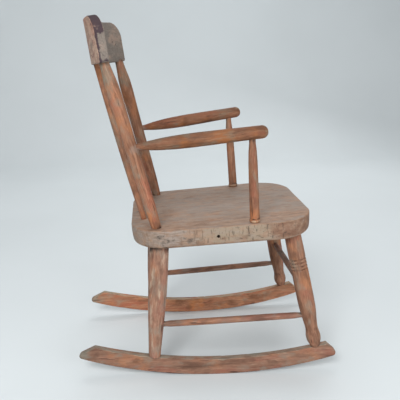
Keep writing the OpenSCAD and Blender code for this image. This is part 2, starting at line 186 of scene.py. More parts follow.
def rocker_top(y):
    """Height of a rocker's upper edge."""
    return ROCKER_H + ROCKER_UPPER_R - np.sqrt(ROCKER_UPPER_R**2 - (y + ROCKER_REST_Y) ** 2)


def rocker_x(y):
    """How far a rocker's middle is from the middle of the chair."""
    return ROCKER_HALF - (y + ROCKER_REST_Y) * math.tan(rad(ROCKER_TOE))


def leg_ends(side, front):
    """Foot and top of a leg."""
    if front:
        foot_y, top_x, top_y = -FRONT_LEG_FOOT_Y, FRONT_LEG_TOP[0], -FRONT_LEG_TOP[1]
    else:
        foot_y, top_x, top_y = REAR_LEG_FOOT_Y, REAR_LEG_TOP[0], REAR_LEG_TOP[1]
    foot = vec(side * rocker_x(foot_y), foot_y, rocker_top(foot_y))
    return foot, vec(side * top_x, top_y, under_z(top_y))


def on_leg(side, front, z):
    """The point at height z on a leg's axis."""
    return at(*leg_ends(side, front), 2, z)


def arm_ends(side):
    """Back end, on the post's axis, and front end of an arm."""
    back = at(post_foot(side), post_top(side), 2, ARM_BACK_Z)
    return back, vec(side * ARM_FRONT[0], -ARM_FRONT[1], ARM_FRONT[2])


def support_ends(side):
    """Foot and top of an arm support."""
    y = -SUPPORT_FOOT[1]
    return vec(side * SUPPORT_FOOT[0], y, seat_z(y)), at(*arm_ends(side), 1, -SUPPORT_TOP_Y)


# ---- Noise and rings -----------------------------------------------------------------------------

OCTAVES, OCTAVE_SEED_STEP = 3, 17
HASH_X, HASH_Y, HASH_Z, HASH_SEED = 374761393, 668265263, 2147483647, 974634777
HASH_MIX, LOW_32_BITS, LOW_16_BITS = 1274126177, 0xFFFFFFFF, 0xFFFF


def lattice(i, seed):
    """A repeatable value from 0 to 1 for each integer point."""
    h = i[..., 0] * HASH_X + i[..., 1] * HASH_Y + i[..., 2] * HASH_Z + seed * HASH_SEED
    h = h & LOW_32_BITS
    h = ((h ^ (h >> 13)) * HASH_MIX) & LOW_32_BITS
    return ((h ^ (h >> 16)) & LOW_16_BITS) / LOW_16_BITS


def noise(p, size, seed):
    """Smooth noise from -1 to 1 with features about size mm across, or a size for each axis."""
    q = p / np.asarray(size, dtype=float)
    i = np.floor(q).astype(np.int64)
    f = q - i
    f = f * f * (3 - 2 * f)
    total = 0
    for corner in range(8):
        d = np.array([corner & 1, corner >> 1 & 1, corner >> 2 & 1])
        weight = np.prod(np.where(d == 1, f, 1 - f), axis=-1)
        total = total + weight * lattice(i + d, seed)
    return 2 * total - 1


def fbm(p, size, seed):
    """The same noise with finer noise added to it, each octave half as large and half as strong."""
    size = np.asarray(size, dtype=float)
    total = sum(
        noise(p, size / 2**k, seed + OCTAVE_SEED_STEP * k) / 2**k for k in range(OCTAVES)
    )
    return total / (2 - 2 ** (1 - OCTAVES))


def smooth_step(x, low, high):
    """0 up to low and 1 from high on, with a smooth rise between."""
    t = np.clip((x - low) / (high - low), 0, 1)
    return t * t * (3 - 2 * t)


def fade(distance, over):
    """1 up to a distance of 0, then falling to about a third with every over mm."""
    return np.exp(-np.clip(distance, 0, None) / over)


def near(points, centre, size):
    """1 at the centre, and about a seventh of that size mm away."""
    return np.exp(-2 * np.sum((points - centre) ** 2, axis=-1) / size**2)


def ring_normals(r):
    """Outward normals of a stack of rings."""
    n = np.cross(np.roll(r, -1, 1) - np.roll(r, 1, 1), np.gradient(r, axis=0))
    return n / (np.linalg.norm(n, axis=2, keepdims=True) + 1e-9)


def moved(m, r):
    """Points r in the frame of the 4x4 matrix m."""
    a = np.array(m)
    return r @ a[:3, :3].T + a[:3, 3]


def wear_in(r, amount, grain, seed, dents, dent_size=3.0):
    """Pushes the surface in a little: slow unevenness along the grain, and a few small dents."""
    n = ring_normals(r)
    depth = amount * (0.5 + 0.5 * fbm(r, grain, seed))
    rng = np.random.default_rng(seed)
    flat = r.reshape(-1, 3)
    for _ in range(dents):
        centre = flat[rng.integers(len(flat))]
        size = dent_size * rng.uniform(0.5, 1.4)
        d2 = np.sum((r - centre) ** 2, axis=2) / size**2
        depth = depth + rng.uniform(0.15, 0.5) * np.exp(-2 * d2)
    return r - n * depth[..., None]


# A blind hole takes the place of the quads this many rows and columns either way from its centre
BORE_REACH = 3


def bore(rings, centre, inward, radius, depth, start):
    """A blind hole through the wall of a stack of rings: the quads that it takes the place of, its
    points, its faces, whose new points are numbered from start, and the points round its mouth."""
    cols = rings.shape[1]
    gap = np.linalg.norm(rings - centre, axis=2)
    i0, j0 = np.unravel_index(gap.argmin(), gap.shape)
    steps = range(-BORE_REACH, BORE_REACH)
    cut = {(i0 + i, j0 + j) for i in steps for j in steps}
    loop = [(i0 - BORE_REACH, j0 + j) for j in steps] + [(i0 + i, j0 + BORE_REACH) for i in steps]
    loop += [(i0 + BORE_REACH, j0 - j) for j in steps] + [(i0 - i, j0 - BORE_REACH) for i in steps]
    rim = np.array([rings[i, j] for i, j in loop])
    across = rim - centre - np.outer((rim - centre) @ inward, inward)
    across /= np.linalg.norm(across, axis=1, keepdims=True)
    centre = centre + inward * ((rim - centre) @ inward).mean()
    # Each level is a share of the radius and a depth: a worn lip, a straight wall, a drill's point
    levels = (
        (1.3, -0.05), (1.14, 0.1), (1.0, 0.7),
        (0.98, depth * 0.5), (0.98, depth - 0.6), (0.7, depth),
    )
    walls = [centre + across * radius * wide + inward * deep for wide, deep in levels]
    points = np.vstack([*walls, centre + inward * depth])
    count = len(loop)
    sets = [[i * cols + j for i, j in loop]]
    sets += [[start + k * count + m for m in range(count)] for k in range(len(levels))]
    faces = []
    for outer, inner in zip(sets, sets[1:]):
        faces += [(outer[m - 1], outer[m], inner[m], inner[m - 1]) for m in range(count)]
    end = start + len(levels) * count
    faces += [(sets[-1][m - 1], sets[-1][m], end) for m in range(count)]
    return cut, points, faces, sets[0]


def piece(node, rings, matrix, material, marks, hole=None):
    """Makes the piece that stands for a CAD node. marks are per-point masks for its material, and
    hole is the centre, direction, radius and depth of a blind hole."""
    rows, cols = rings.shape[:2]
    ends = np.array([rings[0].mean(axis=0), rings[-1].mean(axis=0)])
    own = np.vstack([rings.reshape(-1, 3), ends])
    cut, inside, faces, mouth = set(), np.empty((0, 3)), [], []
    if hole:
        cut, inside, faces, mouth = bore(rings, *hole, len(own))
    own = np.vstack([own, inside])
    points = moved(matrix, own) * MM
    for i in range(rows - 1):
        for j in range(cols):
            if (i, j) in cut:
                continue
            k = (j + 1) % cols
            faces.append((i * cols + j, i * cols + k, (i + 1) * cols + k, (i + 1) * cols + j))
    low, high = rows * cols, rows * cols + 1
    last = (rows - 1) * cols
    for j in range(cols):
        k = (j + 1) % cols
        faces.append((k, j, low))
        faces.append((last + j, last + k, high))
    mesh = bpy.data.meshes.new(node + "_piece")
    mesh.from_pydata(points.tolist(), [], faces)
    mesh.shade_smooth()
    for name, values in marks.items():
        values = np.broadcast_to(values, (rows, cols))
        # The hole's lip takes the values round its mouth, and its inside has only the darkening
        # mask, at full strength: painted shade in the hole
        lip = np.tile(values.ravel()[mouth], 2)
        deep = np.full(len(inside) - len(lip), 1.0 if name == "dirt_and_shade" else 0.0)
        centres = [values[0].mean(), values[-1].mean()]
        data = np.concatenate([values.ravel(), centres, lip, deep])
        layer = mesh.attributes.new(name, "FLOAT", "POINT")
        layer.data.foreach_set("value", np.clip(data, 0, 1).astype(np.float32))
    place = mesh.attributes.new("own_place", "FLOAT_VECTOR", "POINT")
    place.data.foreach_set("vector", (own * MM).astype(np.float32).ravel())
    mesh.materials.append(material)
    o = bpy.data.objects.new(node + "_piece", mesh)
    bpy.context.scene.collection.objects.link(o)
    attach(o, "root")
    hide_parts(node)


# ---- Wood ----------------------------------------------------------------------------------------

class Nodes:
    """Short names for the nodes of one material."""

    def __init__(self, name):
        self.material = bpy.data.materials.new(name)
        self.material.use_nodes = True
        self.tree = self.material.node_tree
        self.tree.nodes.clear()

    def put(self, kind, inputs=(), **settings):
        """Makes a node, with its settings and with values or other nodes' outputs as its inputs."""
        node = self.tree.nodes.new(kind)
        for key, value in settings.items():
            setattr(node, key, value)
        for key, value in dict(inputs).items():
            self.feed(node.inputs[key], value)
        return node

    def feed(self, socket, value):
        """Links a socket to another node's output, or sets it."""
        if isinstance(value, bpy.types.NodeSocket):
            self.tree.links.new(value, socket)
        else:
            socket.default_value = value

    def noise(self, where, scale, detail, rough=0.55):
        inputs = {"Vector": where, "Scale": scale, "Detail": detail, "Roughness": rough}
        return self.put("ShaderNodeTexNoise", inputs).outputs["Fac"]

    def math(self, what, a, b):
        return self.put("ShaderNodeMath", {0: a, 1: b}, operation=what).outputs[0]

    def ramp(self, value, low, high):
        """0 where value is low and 1 where it is high; low may be the larger of the two."""
        inputs = {"Value": value, "From Min": low, "From Max": high}
        node = self.put("ShaderNodeMapRange", inputs, interpolation_type="SMOOTHSTEP")
        return node.outputs["Result"]

    def mix(self, amount, a, b):
        node = self.put("ShaderNodeMix", data_type="RGBA")
        # A Mix node has sockets of one name for each data type, so its colour sockets go by number
        for number, value in ((0, amount), (6, a), (7, b)):
            self.feed(node.inputs[number], value)
        return node.outputs[2]

    def mark(self, name, output="Fac"):
        """A value that the mesh holds for each point."""
        node = self.put("ShaderNodeAttribute", attribute_name=name, attribute_type="GEOMETRY")
        return node.outputs[output]


def colour(r, g, b):
    """A colour from its 0 to 255 values on screen, as the linear values that a shader takes."""
    linear = [
        ((v / 255 + 0.055) / 1.055) ** 2.4 if v > 10 else v / 255 / 12.92 for v in (r, g, b)
    ]
    return (*linear, 1.0)


# The darkest tone of each set stands for dirt and also for painted shade
RED_BROWN = dict(
    dark=colour(92, 60, 43), mid=colour(150, 104, 78), light=colour(184, 142, 112),
    red=colour(150, 84, 62), warm=colour(178, 112, 64), bare=colour(190, 166, 138),
    grey=colour(134, 126, 110), dirt_and_shade=colour(50, 36, 30),
)
SEAT_TONES = dict(
    dark=colour(104, 80, 66), mid=colour(146, 121, 102), light=colour(170, 148, 130),
    red=colour(108, 75, 58), warm=colour(164, 122, 92), bare=colour(136, 125, 108),
    grey=colour(144, 131, 121), dirt_and_shade=colour(58, 48, 42),
)
CREST_TONES = dict(
    dark=colour(112, 84, 74), mid=colour(177, 149, 130), light=colour(194, 169, 150),
    red=colour(146, 100, 90), warm=colour(172, 132, 108), bare=colour(172, 160, 144),
    grey=colour(112, 106, 98), dirt_and_shade=colour(52, 38, 46),
)
FILLER = colour(128, 106, 94)


def toned(tones, light, rich):
    """The same tones with their lightness scaled by light and their saturation by rich."""
    out = {}
    for name, tone in tones.items():
        mean = sum(tone[:3]) / 3
        out[name] = (*(light * (mean + rich * (v - mean)) for v in tone[:3]), 1.0)
    return out


BACK_TONES = toned(RED_BROWN, 0.91, 0.96)
ARM_TONES = toned(RED_BROWN, 0.57, 1.05)
SUPPORT_TONES = toned(RED_BROWN, 0.82, 0.96)
FRONT_LEG_TONES = toned(RED_BROWN, 0.87, 0.9)
REAR_LEG_TONES = toned(RED_BROWN, 0.95, 0.78)
STRETCHER_TONES = toned(RED_BROWN, 0.8, 0.74)
# The left rocker is lighter than the right: painted light that makes up for the seat's shade over
# it
ROCKER_TONES_LEFT_PAINTED_LIGHT = {"right": toned(RED_BROWN, 0.83, 0.8), "left": toned(RED_BROWN, 1.1, 1.0)}

# Old wood and paper reflect less than the shader's usual surface does
SPECULAR_LEVEL = 0.2
# What a noise is scaled by along the grain, which draws its figure out that way
GRAIN_STRETCH, SPLIT_STRETCH, SCRATCH_STRETCH, CLOUD_STRETCH = 0.045, 0.06, 0.3, 0.5
# The saw marks on the seat's edge are upright, so they are drawn out along Z instead
TICK_STRETCH = 0.2


def wood(name, tones, axis, seed, fine=1.0, long=0.25, strong=1.0):
    """Old stained wood. The grain runs along the piece's own axis; fine scales the figure, long
    sets how far stains are drawn out along it, and strong how much the grain shows."""
    n = Nodes(name)

    # Places: each seed looks at another part of the noise, and the grain wanders a little
    place = n.mark("own_place", "Vector")
    shift = (seed * 0.37 % 5, seed * 0.73 % 5, seed * 0.59 % 5)
    spot_at = n.put("ShaderNodeMapping", {"Vector": place, "Location": shift}).outputs[0]
    warp_inputs = {"Vector": spot_at, "Scale": 16.0, "Detail": 2.0}
    warp = n.put("ShaderNodeTexNoise", warp_inputs).outputs["Color"]
    push = n.put("ShaderNodeVectorMath", {0: warp, "Scale": 0.008}, operation="SCALE").outputs[0]
    bent = n.put("ShaderNodeVectorMath", {0: spot_at, 1: push}, operation="ADD").outputs[0]

    def stretched(where, share, way=axis):
        scale = [share if letter == way else 1.0 for letter in "XYZ"]
        return n.put("ShaderNodeMapping", {"Vector": where, "Scale": scale}).outputs[0]

    # Figure: each noise has a scale per metre, a detail and a roughness
    grain_at = stretched(bent, GRAIN_STRETCH)
    smear_at = stretched(spot_at, long)
    figure = n.noise(grain_at, 190.0 * fine, 3.0, 0.5)
    streak = n.noise(grain_at, 640.0 * fine, 4.0, 0.6)
    pores = n.noise(grain_at, 1900.0, 2.0, 0.5)
    smear = n.noise(smear_at, 52.0, 5.0, 0.6)
    blotch = n.noise(spot_at, 24.0, 4.0, 0.5)
    patch = n.noise(smear_at, 130.0, 7.0, 0.66)
    cloud = n.noise(stretched(bent, CLOUD_STRETCH), 78.0, 3.0, 0.5)
    speck = n.noise(spot_at, 560.0, 3.0, 0.7)
    split = n.ramp(n.noise(stretched(bent, SPLIT_STRETCH), 300.0, 2.0, 0.4), 0.66, 0.7)
    split = n.math("MULTIPLY", split, n.ramp(smear, 0.46, 0.56))
    tick_at = stretched(spot_at, TICK_STRETCH, "Z")
    tick = n.ramp(n.noise(tick_at, 340.0, 3.0, 0.65), 0.56, 0.65)
    scratch = n.ramp(n.noise(stretched(bent, SCRATCH_STRETCH), 290.0, 2.0, 0.6), 0.6, 0.68)
    tick = n.math("MULTIPLY", n.math("MAXIMUM", tick, scratch), n.mark("wall"))

    def over(base, amount, share, tone):
        return n.mix(n.math("MULTIPLY", amount, share), base, tone)

    # The stained wood
    body = over(tones["mid"], n.ramp(figure, 0.54, 0.34), 0.55 * strong, tones["dark"])
    body = over(body, n.ramp(smear, 0.46, 0.66), 0.7 * strong, tones["red"])
    body = over(body, n.ramp(blotch, 0.5, 0.68), 0.65 * strong, tones["warm"])
    body = over(body, n.ramp(streak, 0.5, 0.7), 0.5 * strong, tones["light"])
    body = over(body, n.ramp(smear, 0.5, 0.32), 0.6, tones["dark"])
    body = over(body, n.ramp(cloud, 0.52, 0.7), 0.5, tones["grey"])
    body = over(body, n.ramp(cloud, 0.46, 0.3), 0.5, tones["dark"])
    body = over(body, n.ramp(pores, 0.52, 0.66), 0.35 * strong, tones["dark"])

    # The mesh's masks, with ragged edges
    ragged = n.math("MULTIPLY", n.math("SUBTRACT", patch, 0.5), 1.9)

    def masked(mark, low, high):
        return n.ramp(n.math("ADD", n.mark(mark), ragged), low, high)

    worn = masked("wear_and_highlight", 0.4, 0.8)
    grey = masked("grey", 0.28, 0.82)
    dirt_and_shade = masked("dirt_and_shade", 0.4, 0.85)
    putty = masked("filler", 0.42, 0.75)
    stained = masked("stain", 0.3, 0.9)

    # What lies over the stain: bare and weathered wood, dirt and filler, and on some pieces painted
    # highlight and painted shade
    dulled = n.mix(0.4, tones["bare"], tones["mid"])
    bare = over(tones["bare"], n.ramp(streak, 0.6, 0.4), 0.8, dulled)
    bare = over(bare, n.ramp(smear, 0.5, 0.36), 0.5, tones["dark"])
    weathered = over(tones["grey"], n.ramp(streak, 0.6, 0.4), 0.3, tones["dirt_and_shade"])
    weathered = over(weathered, n.ramp(smear, 0.46, 0.68), 0.45, tones["mid"])
    # Bare wood where worn; on some pieces this also paints highlight
    body = over(body, worn, 0.8, bare)
    body = over(body, grey, 0.9, weathered)
    body = over(body, stained, 0.75, tones["red"])
    body = over(body, tick, 0.6, tones["dirt_and_shade"])
    # Dirt, and on some pieces painted shade: undersides, the hole's inside, the rear legs' tops
    # under the seat
    body = over(body, dirt_and_shade, 0.9, tones["dirt_and_shade"])
    body = over(body, putty, 0.7, FILLER)
    body = over(body, n.ramp(speck, 0.64, 0.76), 0.55, tones["dirt_and_shade"])
    body = over(body, split, 0.7 * strong * strong, tones["dirt_and_shade"])

    # Sheen and relief
    rough = n.math("ADD", n.math("MULTIPLY", smear, 0.24), 0.42)
    for amount, share in (
        (streak, 0.16), (worn, 0.1), (grey, 0.08), (dirt_and_shade, 0.1), (putty, 0.1),
    ):
        rough = n.math("ADD", rough, n.math("MULTIPLY", amount, share))
    height = n.math("MULTIPLY", putty, 0.5)
    for amount, share in (
        (streak, 0.5), (pores, 0.3), (patch, 0.4), (tick, -0.4), (split, -0.9),
    ):
        height = n.math("ADD", height, n.math("MULTIPLY", amount, share))
    pits = n.math("MULTIPLY", n.ramp(speck, 0.64, 0.78), 0.5)
    relief = {"Height": n.math("SUBTRACT", height, pits), "Strength": 0.6, "Distance": 0.0006}
    surface = {
        "Base Color": body,
        "Roughness": rough,
        "Normal": n.put("ShaderNodeBump", relief).outputs["Normal"],
        "Specular IOR Level": SPECULAR_LEVEL,
    }
    shader = n.put("ShaderNodeBsdfPrincipled", surface)
    n.put("ShaderNodeOutputMaterial", {"Surface": shader.outputs[0]})
    return n.material


# ---- Turned pieces -------------------------------------------------------------------------------

# The outline is rounded over on samples this far apart, in mm
PROFILE_SAMPLE = 0.4
# Out of round, as a share of the radius, and out of true, in mm
OVAL, BOW = 0.008, 0.25
TURNED_WEAR, TURNED_GRAIN = 0.22, (7, 7, 40)
# A trimmed foot is drawn onto its surface over this length
TRIM_FADE = 14
# Masks of a turned piece where it gives none of its own
PLAIN_MARKS = dict(wear_and_highlight=0.12, grey=0.05, dirt_and_shade=0.08)


def along(p, q):
    """A frame on p with its Z towards q."""
    d = q - p
    tilt = math.acos(d[2] / np.linalg.norm(d))
    turn = Matrix.Rotation(math.atan2(d[1], d[0]), 4, "Z") @ Matrix.Rotation(tilt, 4, "Y")
    return Matrix.Translation(Vector(p)) @ turn


def profile(stations, soft, step=1.6):
    """Heights and radii every step mm along a turned piece whose stations are heights and
    diameters, with their corners rounded over soft mm."""
    h, d = np.array(stations, dtype=float).T
    fine = np.linspace(h[0], h[-1], int((h[-1] - h[0]) / PROFILE_SAMPLE))
    half = int(3 * soft / PROFILE_SAMPLE)
    kernel = np.exp(-0.5 * (np.arange(-half, half + 1) * PROFILE_SAMPLE / soft) ** 2)
    r = np.pad(np.interp(fine, h, d) / 2, half, mode="edge")
    r = np.convolve(r, kernel / kernel.sum(), mode="valid")
    heights = np.linspace(h[0], h[-1], int((h[-1] - h[0]) / step))
    return heights, np.interp(heights, fine, r)


def scaled(length, diameter, shares, low=LET_IN):
    """Stations from shares of a length and a diameter, carried on into the pieces at both ends: by
    low mm at the foot and by LET_IN at the top."""
    s = [(a * length, b * diameter) for a, b in shares]
    return [(-low, s[0][1])] + s + [(length + LET_IN, s[-1][1])]


def turned_rings(heights, radii, cols, seed):
    """Rings of a turned piece, a little out of round and out of true as hand turning leaves it."""
    rng = np.random.default_rng(seed)
    angle = np.linspace(0, 2 * math.pi, cols, endpoint=False)
    phase, lean = rng.uniform(0, math.pi), rng.uniform(0, 2 * math.pi)
    t = (heights - heights[0]) / (heights[-1] - heights[0])
    r = radii[:, None] * (1 - OVAL * (0.5 + 0.5 * np.cos(2 * (angle - phase))))[None, :]
    off = BOW * np.sin(math.pi * t)[:, None]
    x = r * np.cos(angle) + off * math.cos(lean)
    y = r * np.sin(angle) + off * math.sin(lean)
    return np.stack([x, y, np.broadcast_to(heights[:, None], x.shape)], axis=2)


def lathe(node, ends, outline, seed, tones, marks, dents, cols=56, trim=None):
    """A turned piece from the first of its ends towards the second. marks gives its masks from its
    points' places in the chair, normals and heights, and trim sets its foot on a surface."""
    heights, radii = outline
    m = along(*ends)
    rings = turned_rings(heights, radii, cols, seed)
    rings = wear_in(rings, TURNED_WEAR, TURNED_GRAIN, seed, dents)
    world = moved(m, rings)
    if trim is not None:
        share = 1 - smooth_step(heights, 0, TRIM_FADE)
        rings[..., 2] += share[:, None] * trim(world)
        world = moved(m, rings)
    masks = PLAIN_MARKS | marks(world, ring_normals(world), rings[..., 2])
    material = wood(node + "_wood", tones, "Z", seed)
    piece(node, rings, m, material, masks)


def both_ends(h, length, low, high, inset=0):
    """1 at both ends of a piece, or inset mm from them, fading over low mm above its foot and over
    high mm below its top."""
    return np.clip(fade(h - inset, low) + fade(length - inset - h, high), 0, 1)


def post(side, word):
    ends = post_foot(side), post_top(side)
    length = np.linalg.norm(ends[1] - ends[0])
    joint = arm_ends(side)[0]

    def marks(world, n, h):
        front = smooth_step(-n[..., 1], 0.2, 0.9)
        tips = both_ends(h, length, 9, 10)
        return dict(
            wear_and_highlight=0.12 + 0.22 * front * smooth_step(h / length, 0.4, 0.9),
            dirt_and_shade=0.06 + 0.55 * tips + 0.35 * near(world, joint + vec(0, -8, 4), 16),
            grey=0.12
            + 0.4 * near(world, joint + vec(0, -10, -4), 16)
            + 0.5 * smooth_step(h / length, 0.74, 0.96),
            filler=0.85 * near(world, joint + vec(8 * side, -5, -1), 14),
        )

    outline = profile(scaled(length, POST_D, POST_SHARES), soft=4)
    seed = SEED["post"] + side
    lathe("back_post_" + word, ends, outline, seed, BACK_TONES, marks, dents=16)


def spindle(n, word):
    ends = spindle_ends(n)
    length = np.linalg.norm(ends[1] - ends[0])

    def marks(world, normal, h):
        return dict(
            wear_and_highlight=0.1 + 0.2 * smooth_step(-normal[..., 1], 0.3, 1),
            dirt_and_shade=0.08 + 0.5 * both_ends(h, length, 7, 8),
        )

    outline = profile(scaled(length, SPINDLE_D, SPINDLE_SHARES), soft=4)
    seed = SEED["spindle"] + n
    lathe("back_spindle_" + word, ends, outline, seed, BACK_TONES, marks, dents=8, cols=36)


def arm(side, word):
    ends = arm_ends(side)
    length = np.linalg.norm(ends[1] - ends[0])
    # The front end is a dome, which starts this far from its tip
    dome = ARM_D * 0.45
    stations = [(1, ARM_BACK_D), (POST_D * 0.6, ARM_BACK_D)]
    stations += [(a * length, b * ARM_D) for a, b in ARM_SHARES]
    stations.append((length - dome, ARM_D * 0.91))
    heights, radii = profile(stations, soft=4)
    bend = np.radians(np.arange(6, 90, 6))
    heights = np.append(heights, length - dome * (1 - np.sin(bend)))
    radii = np.append(radii, radii[-1] * np.cos(bend) ** 0.9)

    def marks(world, n, h):
        up = smooth_step(n[..., 2], 0.1, 0.9)
        tip = smooth_step(h, length - 16, length - 2)
        joint = fade(h - 11, 9)
        return dict(
            wear_and_highlight=0.06 + 0.16 * up * smooth_step(h / length, 0.35, 0.8) + 0.4 * tip,
            grey=0.05 + 0.4 * joint,
            # The underside is darker: painted shade
            dirt_and_shade=0.14 + 0.25 * joint + 0.16 * (1 - up),
            filler=0.78 * joint,
        )

    seed = SEED["arm"] + side
    lathe("arm_" + word, ends, (heights, radii), seed, ARM_TONES, marks, dents=14)


def arm_support(side, word):
    ends = support_ends(side)
    length = np.linalg.norm(ends[1] - ends[0])
    stations = [(-LET_IN, SUPPORT_FOOT_D), (0, SUPPORT_FOOT_D), *SUPPORT_RING]
    stations += [
        (length * 0.25, 15), (length * 0.5, 14.6), (length * 0.68, 14), (length * 0.8, 12.6),
        (length * 0.89, SUPPORT_TOP_D), (length + 2, SUPPORT_TOP_D),
    ]

    def marks(world, n, h):
        ring = np.exp(-((h - 2.6) / 2.2) ** 2)
        above_ring = np.exp(-((h - 6) / 1.6) ** 2)
        return dict(
            wear_and_highlight=0.12 + 0.6 * ring,
            dirt_and_shade=0.06 + 0.6 * above_ring + 0.5 * fade(length - 10 - h, 8),
        )

    outline = profile(stations, soft=0.8, step=0.8)
    seed = SEED["support"] + side
    lathe("arm_support_" + word, ends, outline, seed, SUPPORT_TONES, marks, dents=8, cols=48)


def foot_trim(ends):
    """A leg's trim: how far along its axis each column of its foot moves to stand on the rocker."""
    axis = (ends[1] - ends[0]) / np.linalg.norm(ends[1] - ends[0])

    def trim(world):
        base = world[:1]
        rise = rocker_top(base[..., 1]) + 0.05 - base[..., 2]
        return np.broadcast_to(rise / axis[2], world.shape[:2])

    return trim


def grooves(h, start, count, depth, half):
    """Depth of a band of turned grooves, each half mm wide to either side of its middle."""
    middles = (start + k * GROOVE_PITCH for k in range(count))
    return sum(depth * np.clip(1 - np.abs(h - middle) / half, 0, 1) for middle in middles)


def front_leg(side, word):
    ends = leg_ends(side, True)
    length = np.linalg.norm(ends[1] - ends[0])
    stations = BALL_FOOT + [
        (length * 0.86, FRONT_LEG_D * 0.985), (length, FRONT_LEG_D * 0.95),
        (length + LET_IN, FRONT_LEG_D * 0.95),
    ]
    heights, radii = profile(stations, soft=1.6, step=0.7)
    start = length * GROOVE_START_SHARE
    radii = radii - grooves(heights, start, GROOVES, GROOVE_DEPTH, GROOVE_HALF)
    # The side stretcher enters at the leg's back, and the front stretcher at its inner side
    side_joint = on_leg(side, True, SIDE_FRONT_Z) + vec(0, 12, 0)
    front_joint = on_leg(side, True, FRONT_STRETCHER_Z)

    def marks(world, n, h):
        # Darker in the grooves and lighter on the ridges between them; the ridges' lightness is
        # painted highlight as well as wear
        line = grooves(h, start, GROOVES, 1, 1.6)
        ridge_wear_and_highlight = grooves(h, start + GROOVE_PITCH / 2, GROOVES - 1, 1, 1.4)
        joints = near(world, side_joint, 13) + near(world, front_joint, 13)
        return dict(
            wear_and_highlight=0.1 + 0.45 * ridge_wear_and_highlight + 0.2 * np.exp(-((h - 15) / 5) ** 2),
            dirt_and_shade=0.08
            + 0.6 * line
            + 0.4 * np.exp(-h / 4)
            + 0.4 * np.exp(-((h - 31) / 5) ** 2)
            + 0.4 * joints
            + 0.4 * smooth_step(h, length - 12, length),
            grey=0.05 + 0.4 * joints,
            filler=0.3 * np.exp(-h / 3) + 0.35 * joints,
        )

    lathe(
        "front_leg_" + word, ends, (heights, radii), SEED["front_leg"] + side, FRONT_LEG_TONES,
        marks, dents=16, cols=64, trim=foot_trim(ends),
    )


def rear_leg(side, word):
    ends = leg_ends(side, False)
    length = np.linalg.norm(ends[1] - ends[0])
    joint = on_leg(side, False, SIDE_REAR_Z) + vec(0, -12, 0)

    def marks(world, n, h):
        return dict(
            wear_and_highlight=0.34 + 0.12 * smooth_step(h / length, 0.2, 0.6),
            dirt_and_shade=0.04
            # Darker at the top, under the seat: painted shadow of the seat
            + 0.75 * smooth_step(h, length - 22, length - 2)
            + 0.35 * np.exp(-h / 5),
            grey=0.1 + 0.5 * near(world, joint, 12),
            filler=0.5 * np.exp(-h / 4) + 0.3 * near(world, joint, 12),
        )

    outline = profile(scaled(length, REAR_LEG_D, REAR_LEG_SHARES, low=0), soft=5)
    lathe(
        "rear_leg_" + word, ends, outline, SEED["rear_leg"] + side, REAR_LEG_TONES,
        marks, dents=18, cols=64, trim=foot_trim(ends),
    )


def stretcher(node, p, q, seed):
    length = np.linalg.norm(q - p)
    shoulder = STRETCHER_D * 0.93
    stations = [
        (1, STRETCHER_END_D), (17, STRETCHER_END_D), (22, shoulder), (length * 0.3, STRETCHER_D),
        (length * 0.7, STRETCHER_D), (length - 22, shoulder), (length - 17, STRETCHER_END_D),
        (length - 1, STRETCHER_END_D),
    ]

    def marks(world, n, h):
        tips = both_ends(h, length, 9, 9, inset=12)
        return dict(wear_and_highlight=0.15, grey=0.06 + 0.4 * tips, dirt_and_shade=0.1 + 0.45 * tips)

    outline = profile(stations, soft=2)
    lathe(node, (p, q), outline, seed, STRETCHER_TONES, marks, dents=8, cols=32)


for side, word in SIDES:
    post(side, word)
for n, word in ((-1, "right"), (0, "middle"), (1, "left")):
    spindle(n, word)
for side, word in SIDES:
    arm(side, word)
    arm_support(side, word)
for side, word in SIDES:
    front_leg(side, word)
    rear_leg(side, word)
for side, word in SIDES:
    rear, front = on_leg(side, False, SIDE_REAR_Z), on_leg(side, True, SIDE_FRONT_Z)
    stretcher("side_stretcher_" + word, rear, front, SEED["side_stretcher"] + side)
for name, front, z in (
    ("front_stretcher", True, FRONT_STRETCHER_Z), ("rear_stretcher", False, REAR_STRETCHER_Z),
):
    stretcher(name, on_leg(RIGHT, front, z), on_leg(LEFT, front, z), SEED[name])


# ---- Rockers -------------------------------------------------------------------------------------

SIDE_STEPS, TOP_STEPS, CORNER_STEPS = 9, 5, 4
# Distances from a tip of the rings that round it over, and how far it shrinks
TIP_RINGS = np.array([0, 0.25, 0.7, 1.3, 2.0, 3.0])
TIP_SHRINK = 1.6


def rounded_section(half_w, low, high, corner):
    """A rounded rectangle as a fixed number of (x, z) points, counter-clockwise about +Y."""
    corner = min(corner, half_w * 0.9, (high - low) * 0.45)
    centres = [
        (half_w - corner, high - corner, 90), (half_w - corner, low + corner, 0),
        (corner - half_w, low + corner, -90), (corner - half_w, high - corner, -180),
    ]

    def on_corner(cx, cz, angle):
        return cx + corner * math.cos(rad(angle)), cz + corner * math.sin(rad(angle))

    points = []
    for k, (cx, cz, start) in enumerate(centres):
        arc = [on_corner(cx, cz, start - 90 * i / CORNER_STEPS) for i in range(CORNER_STEPS + 1)]
        points += arc
        goal = on_corner(*centres[(k + 1) % 4])
        count = SIDE_STEPS if k % 2 == 0 else TOP_STEPS
        for i in range(1, count):
            t = i / count
            points.append(tuple(a * (1 - t) + b * t for a, b in zip(arc[-1], goal)))
    return points


